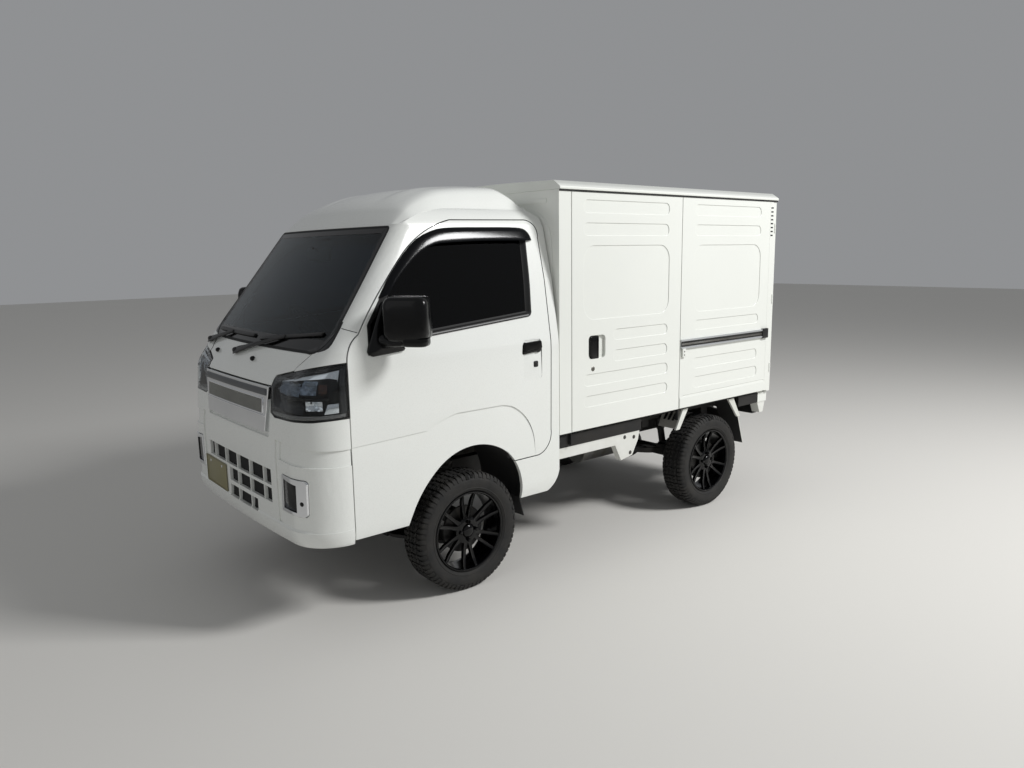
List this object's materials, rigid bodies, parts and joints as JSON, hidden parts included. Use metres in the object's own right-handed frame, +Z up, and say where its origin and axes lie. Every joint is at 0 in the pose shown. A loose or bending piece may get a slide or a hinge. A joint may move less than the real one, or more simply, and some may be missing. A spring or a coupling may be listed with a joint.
{
  "type": "small cab-over delivery truck with a closed box",
  "caption": "Small cab-over truck with a tall cab roof, a pressed-panel cargo box with sliding side doors and rear swing doors, and turning, steering wheels.",
  "frame": {"origin": "middle of the vehicle's footprint, on the ground it stands on", "axes": "+X to the vehicle's left, -Y the way it drives, +Z up"},
  "size_m": [1.8788, 3.395, 1.985],
  "materials": {
    "body_paint": "gloss white",
    "box_paint": "gloss white",
    "glass": "clear, slightly green",
    "lamp_lens": "clear cover over chrome and black",
    "chrome_trim": "bright",
    "black_plastic": "grained black",
    "seat_fabric": "dark grey woven",
    "tyre": "black rubber",
    "black_alloy": "gloss black painted",
    "chassis_black": "satin black",
    "cast_metal": "as cast",
    "bare_steel": "dull",
    "white_steel": "gloss white"
  },
  "bodies": {
    "root": {"cab_shell": "body_paint", "cab_roof": "body_paint", "bumper": "body_paint", "hood_panel": "body_paint", "box_frame": "box_paint", "box_floor": "box_paint", "box_roof": "box_paint", "box_side_panels": "box_paint", "sliding_doors": "box_paint", "cab_glass": "glass", "headlamps": "lamp_lens", "fog_lamps": "lamp_lens", "tail_lamps": "lamp_lens", "grille": "chrome_trim", "dashboard": "black_plastic", "cabin_mirror": "black_plastic", "wipers": "black_plastic", "mudguards": "black_plastic", "arch_liners": "black_plastic", "seats": "seat_fabric", "front_suspension": "chassis_black", "chassis_rails": "chassis_black", "crossmembers": "chassis_black", "frame_brackets": "chassis_black", "rear_axle": "chassis_black", "leaf_springs": "chassis_black", "drive_shaft": "chassis_black", "fuel_tank": "chassis_black", "engine_block": "cast_metal", "exhaust": "bare_steel", "door_rails": "bare_steel", "side_rails": "white_steel"},
    "door_left": {"door_left": "body_paint", "door_glass_left": "glass", "door_fittings_left": "black_plastic"},
    "door_right": {"door_right": "body_paint", "door_glass_right": "glass", "door_fittings_right": "black_plastic"},
    "rear_door_left": {"rear_door_left": "box_paint"},
    "rear_door_right": {"rear_door_right": "box_paint"},
    "steering_wheel": {"steering_wheel": "black_plastic"},
    "knuckle_left": {"knuckle_left": "chassis_black"},
    "knuckle_right": {"knuckle_right": "chassis_black"},
    "wheel_front_left": {"tyre_front_left": "tyre", "rim_front_left": "black_alloy"},
    "wheel_front_right": {"tyre_front_right": "tyre", "rim_front_right": "black_alloy"},
    "wheel_rear_left": {"tyre_rear_left": "tyre", "rim_rear_left": "black_alloy"},
    "wheel_rear_right": {"tyre_rear_right": "tyre", "rim_rear_right": "black_alloy"}
  },
  "joints": [
    {"name": "door_left_hinge", "type": "hinge", "parent": "root", "child": "door_left", "pos_m": [0.741, -1.4735, 0.9], "axis": [0, 0, -1], "range_deg": [0, 66]},
    {"name": "door_right_hinge", "type": "hinge", "parent": "root", "child": "door_right", "pos_m": [-0.741, -1.4735, 0.9], "axis": [0, 0, 1], "range_deg": [0, 66]},
    {"name": "rear_door_left_hinge", "type": "hinge", "parent": "root", "child": "rear_door_left", "pos_m": [0.727, 1.6995, 1.3], "axis": [0, 0, -1], "range_deg": [0, 180]},
    {"name": "rear_door_right_hinge", "type": "hinge", "parent": "root", "child": "rear_door_right", "pos_m": [-0.727, 1.6995, 1.3], "axis": [0, 0, 1], "range_deg": [0, 180]},
    {"name": "steer_left", "type": "hinge", "parent": "root", "child": "knuckle_left", "pos_m": [0.628, -0.8505, 0.212], "axis": [-0.2348, 0, 0.9721], "range_deg": [-35, 35]},
    {"name": "steer_right", "type": "hinge", "parent": "root", "child": "knuckle_right", "pos_m": [-0.628, -0.8505, 0.212], "axis": [0.2348, 0, 0.9721], "range_deg": [-35, 35]},
    {"name": "steering_wheel_turn", "type": "hinge", "parent": "root", "child": "steering_wheel", "pos_m": [-0.35, -1.0875, 1.21], "axis": [0, 0.788, 0.6157], "range_deg": [-532, 532]},
    {"name": "spin_front_left", "type": "hinge", "parent": "knuckle_left", "child": "wheel_front_left", "pos_m": [0.6425, -0.8505, 0.291], "axis": [1, 0, 0], "continuous": true},
    {"name": "spin_front_right", "type": "hinge", "parent": "knuckle_right", "child": "wheel_front_right", "pos_m": [-0.6425, -0.8505, 0.291], "axis": [1, 0, 0], "continuous": true},
    {"name": "spin_rear_left", "type": "hinge", "parent": "root", "child": "wheel_rear_left", "pos_m": [0.6425, 1.0495, 0.291], "axis": [1, 0, 0], "continuous": true},
    {"name": "spin_rear_right", "type": "hinge", "parent": "root", "child": "wheel_rear_right", "pos_m": [-0.6425, 1.0495, 0.291], "axis": [1, 0, 0], "continuous": true}
  ],
  "couplings": [
    {"joint": "steer_right", "follows": "steer_left", "ratio": 1},
    {"joint": "steering_wheel_turn", "follows": "steer_left", "ratio": 15}
  ]
}
